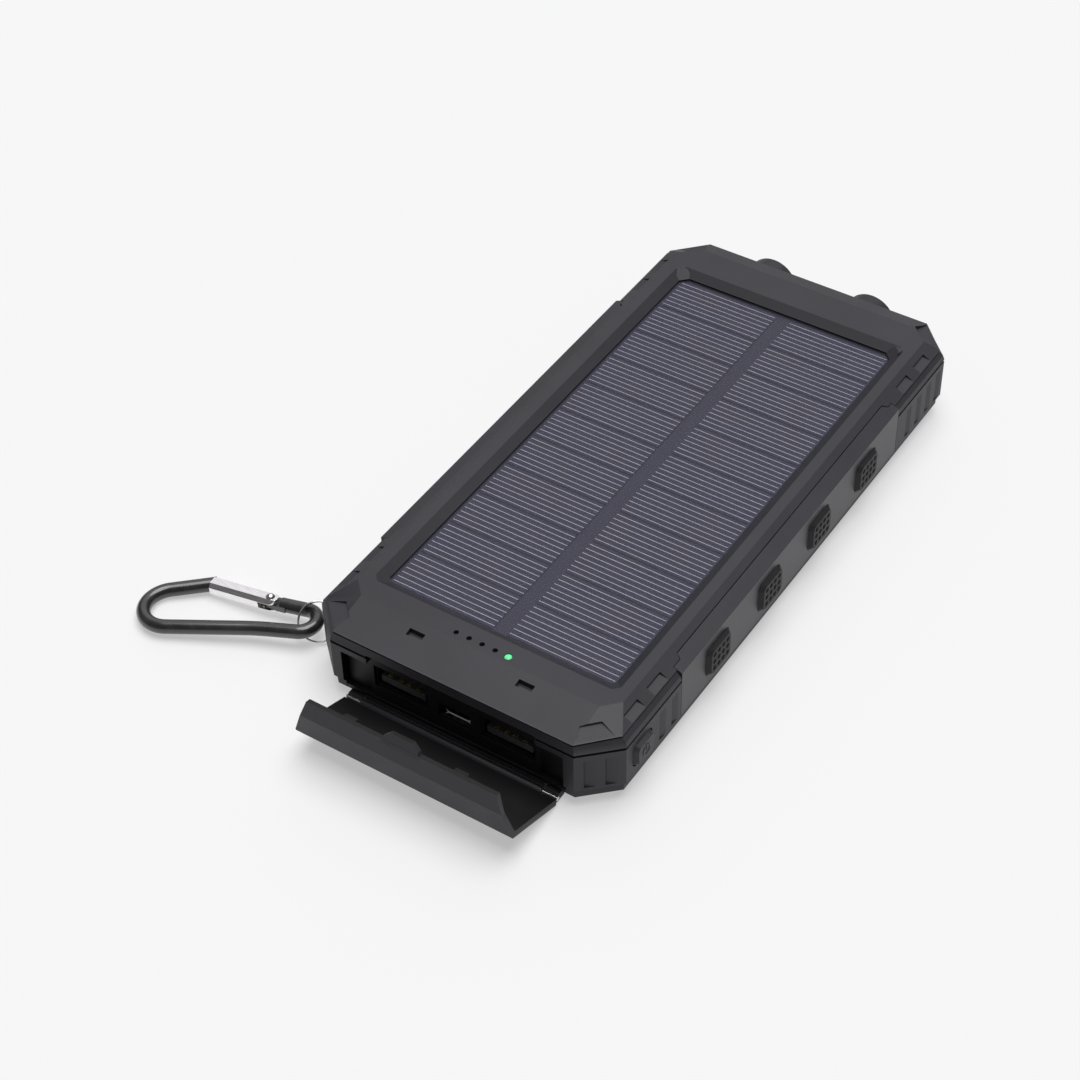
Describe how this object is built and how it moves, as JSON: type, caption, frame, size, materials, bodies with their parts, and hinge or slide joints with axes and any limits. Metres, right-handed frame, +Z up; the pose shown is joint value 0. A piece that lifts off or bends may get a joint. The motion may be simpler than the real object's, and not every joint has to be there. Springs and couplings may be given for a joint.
{
  "type": "solar power bank",
  "caption": "Rugged pocket power bank with a solar panel on top, torch lenses, rubber port flap swung open over USB sockets, and a carabiner on a key ring.",
  "frame": {"origin": "middle of the underside, on the surface that the case rests on", "axes": "+Z up through the solar panel, +Y along the case from the socket end to the torch end, +X to the side with the power button"},
  "size_m": [0.1199, 0.1759, 0.0201],
  "materials": {
    "shell_plastic": "fine-grained satin",
    "rim_plastic": "fine-grained satin",
    "cover_plastic": "fine-grained satin",
    "trim_plastic": "semi-gloss",
    "pad_rubber": "matt",
    "flap_rubber": "matt",
    "button_plastic": "satin",
    "panel_film": "clear, glossy",
    "silicon": "dark blue-grey",
    "white_board": "black printed board",
    "green_board": "solder mask",
    "chip_black": "moulded",
    "dark_plastic": "plain",
    "steel": "plated",
    "spring_steel": "bright nickel",
    "gold_plate": "bright",
    "battery_foil": "satin",
    "foam": "matt",
    "gasket": "matt",
    "led_body": "moulded",
    "light_pipe_plastic": "clear",
    "green_light_plastic": "clear, lit green",
    "lens_clear": "clear, glossy",
    "reflector_chrome": "mirror",
    "red_lead": "insulated wire",
    "ribbon_film": "polyimide film",
    "black_anodised": "glossy black",
    "bare_aluminium": "drawn, satin"
  },
  "bodies": {
    "case": {"bottom_shell": "shell_plastic", "rim_collar": "rim_plastic", "top_cover": "cover_plastic", "side_trim_left": "trim_plastic", "side_trim_right": "trim_plastic", "grip_pads_left": "pad_rubber", "grip_pads_right": "pad_rubber", "flap_hinge_pin": "steel", "solar_board": "white_board", "solar_cells": "silicon", "solar_film": "panel_film", "panel_gasket": "gasket", "panel_frame": "dark_plastic", "main_board": "green_board", "board_chips": "chip_black", "micro_usb_shell": "steel", "micro_usb_tongue": "chip_black", "indicator_board": "green_board", "indicator_leds": "led_body", "charge_light_pipes": "light_pipe_plastic", "solar_light_pipe": "green_light_plastic", "battery_cell_lower": "battery_foil", "battery_cell_upper": "battery_foil", "battery_foam": "foam", "battery_tabs": "steel", "battery_leads": "red_lead", "solar_leads": "red_lead", "torch_ribbon": "ribbon_film", "torch_board": "green_board", "torch_led_left": "led_body", "torch_led_right": "led_body", "torch_reflector_left": "reflector_chrome", "torch_reflector_right": "reflector_chrome", "torch_lens_left": "lens_clear", "torch_lens_right": "lens_clear", "switch_body": "chip_black", "case_screws": "steel", "usb_a_shell_left": "steel", "usb_a_shell_right": "steel", "usb_a_tongue_left": "chip_black", "usb_a_tongue_right": "chip_black", "usb_a_contacts_left": "gold_plate", "usb_a_contacts_right": "gold_plate"},
    "flap": {"port_flap": "flap_rubber"},
    "button": {"power_button": "button_plastic", "switch_plunger": "dark_plastic"},
    "ring": {"key_ring": "spring_steel"},
    "carabiner": {"carabiner_body": "black_anodised", "gate_rivet": "spring_steel"},
    "gate": {"carabiner_gate": "bare_aluminium", "gate_plunger": "steel", "gate_spring": "steel"}
  },
  "joints": [
    {"name": "flap_hinge", "type": "hinge", "parent": "case", "child": "flap", "pos_m": [0, -0.0782, 0.00115], "axis": [-1, 0, 0], "range_deg": [-15, 70]},
    {"name": "power_button_press", "type": "slide", "parent": "case", "child": "button", "axis": [-1, 0, 0], "range_m": [0, 0.0004], "stiffness_N_per_m": 3000},
    {"name": "key_ring_swing", "type": "hinge", "parent": "case", "child": "ring", "pos_m": [-0.03907, -0.06352, 0.0038], "axis": [-0.4054, 0.5942, 0.6947], "range_deg": [0, 28]},
    {"name": "carabiner_swing", "type": "hinge", "parent": "ring", "child": "carabiner", "pos_m": [-0.04639, -0.06839, 0.00391], "axis": [0, 0, 1], "range_deg": [-40, 30]},
    {"name": "carabiner_gate_hinge", "type": "hinge", "parent": "carabiner", "child": "gate", "pos_m": [-0.05538, -0.06628, 0.00319], "axis": [-0.0721, 0.0194, 0.9972], "range_deg": [0, 32], "stiffness_Nm_per_rad": 0.02, "springref_deg": -8.59}
  ]
}
